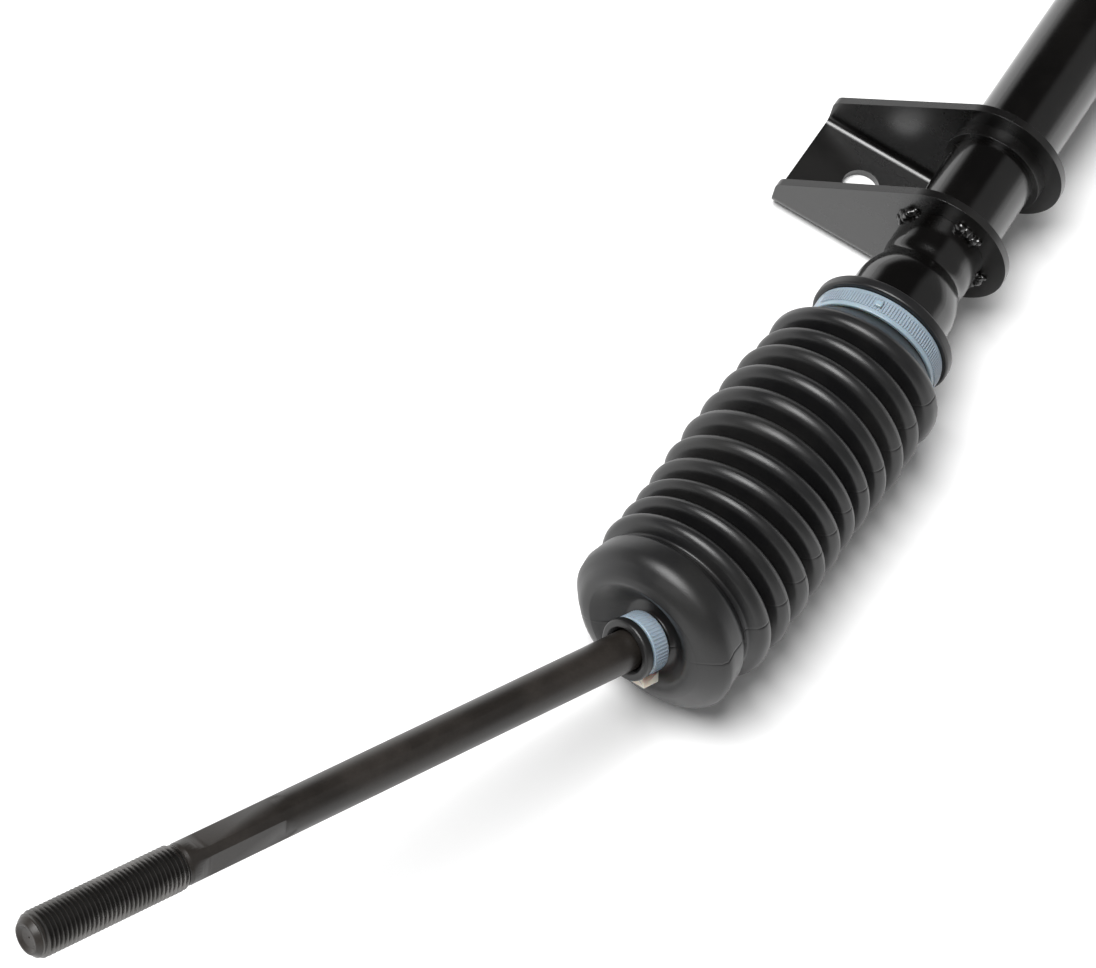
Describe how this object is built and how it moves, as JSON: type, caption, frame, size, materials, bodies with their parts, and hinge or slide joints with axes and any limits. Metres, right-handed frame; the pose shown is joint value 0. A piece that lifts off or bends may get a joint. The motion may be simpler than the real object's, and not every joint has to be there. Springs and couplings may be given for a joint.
{
  "type": "steering rack",
  "caption": "Manual rack and pinion steering gear: tube housing with welded U bracket, rubber bellows held by nylon ties, threaded tie rods, cast pinion housing.",
  "frame": {"origin": "centre of the bracket's bolt hole on its mounting face", "axes": "+X along the rack to the near tie rod, +Z along the normal of the mounting face, away from what the gear is bolted to"},
  "size_m": [1.1395, 0.1669, 0.1023],
  "materials": {
    "painted_steel": "gloss black paint",
    "cast_housing": "as cast, fine grain",
    "ground_steel": "ground and oiled",
    "bearing_steel": "polished",
    "cage_brass": "pressed and turned bronze",
    "plated_steel": "zinc plated",
    "forged_steel": "blackened, oiled",
    "rubber": "satin black rubber",
    "nylon_tie": "translucent natural nylon",
    "bush_plastic": "natural nylon",
    "guide_metal": "sintered"
  },
  "bodies": {
    "housing": {"rack_tube": "painted_steel", "rack_bush": "bush_plastic", "mounting_bracket": "painted_steel", "bracket_welds": "painted_steel", "pinion_housing": "cast_housing", "bearing_outer_ring": "bearing_steel", "ring_nut": "plated_steel", "pinion_seal": "rubber", "dust_cap": "rubber", "lower_bush": "cage_brass", "bottom_plug": "plated_steel", "rack_guide": "guide_metal", "guide_o_ring": "rubber", "guide_spring": "ground_steel", "guide_adjuster": "plated_steel", "adjuster_locknut": "plated_steel", "near_bellows": "rubber", "far_bellows": "rubber", "near_large_tie": "nylon_tie", "far_large_tie": "nylon_tie"},
    "rack": {"rack_bar": "ground_steel", "near_joint_housing": "forged_steel", "far_joint_housing": "forged_steel", "near_lock_washer": "plated_steel", "far_lock_washer": "plated_steel"},
    "pinion": {"pinion_shaft": "ground_steel", "bearing_inner_ring": "bearing_steel", "bearing_balls": "bearing_steel", "bearing_cage": "cage_brass", "snap_ring": "ground_steel"},
    "near_seat": {"near_ball_seat": "bush_plastic"},
    "near_rod": {"near_tie_rod": "forged_steel", "near_small_tie": "nylon_tie"},
    "far_seat": {"far_ball_seat": "bush_plastic"},
    "far_rod": {"far_tie_rod": "forged_steel", "far_small_tie": "nylon_tie"}
  },
  "joints": [
    {"name": "rack_slide", "type": "slide", "parent": "housing", "child": "rack", "axis": [1, 0, 0], "range_m": [-0.07, 0.07], "deforming": ["near_bellows", "far_bellows"]},
    {"name": "pinion_turn", "type": "hinge", "parent": "housing", "child": "pinion", "pos_m": [-0.258, 0.05256, 0.0302], "axis": [0, 0, 1], "range_deg": [-502, 502]},
    {"name": "near_yaw", "type": "hinge", "parent": "rack", "child": "near_seat", "pos_m": [0.192, 0.0375, 0.0302], "axis": [0, 0, 1], "range_deg": [-2.4, 47.6], "deforming": ["near_bellows"]},
    {"name": "near_pitch", "type": "hinge", "parent": "near_seat", "child": "near_rod", "pos_m": [0.192, 0.0375, 0.0302], "axis": [-0.3843, -0.9232, 0], "range_deg": [-33.2, 2.8], "deforming": ["near_bellows"]},
    {"name": "far_yaw", "type": "hinge", "parent": "rack", "child": "far_seat", "pos_m": [-0.468, 0.0375, 0.0302], "axis": [0, 0, 1], "range_deg": [-25, 25], "deforming": ["far_bellows"]},
    {"name": "far_pitch", "type": "hinge", "parent": "far_seat", "child": "far_rod", "pos_m": [-0.468, 0.0375, 0.0302], "axis": [0, 1, 0], "range_deg": [-18, 18], "deforming": ["far_bellows"]}
  ],
  "couplings": [
    {"joint": "pinion_turn", "follows": "rack_slide", "rad_per_m": 125}
  ]
}
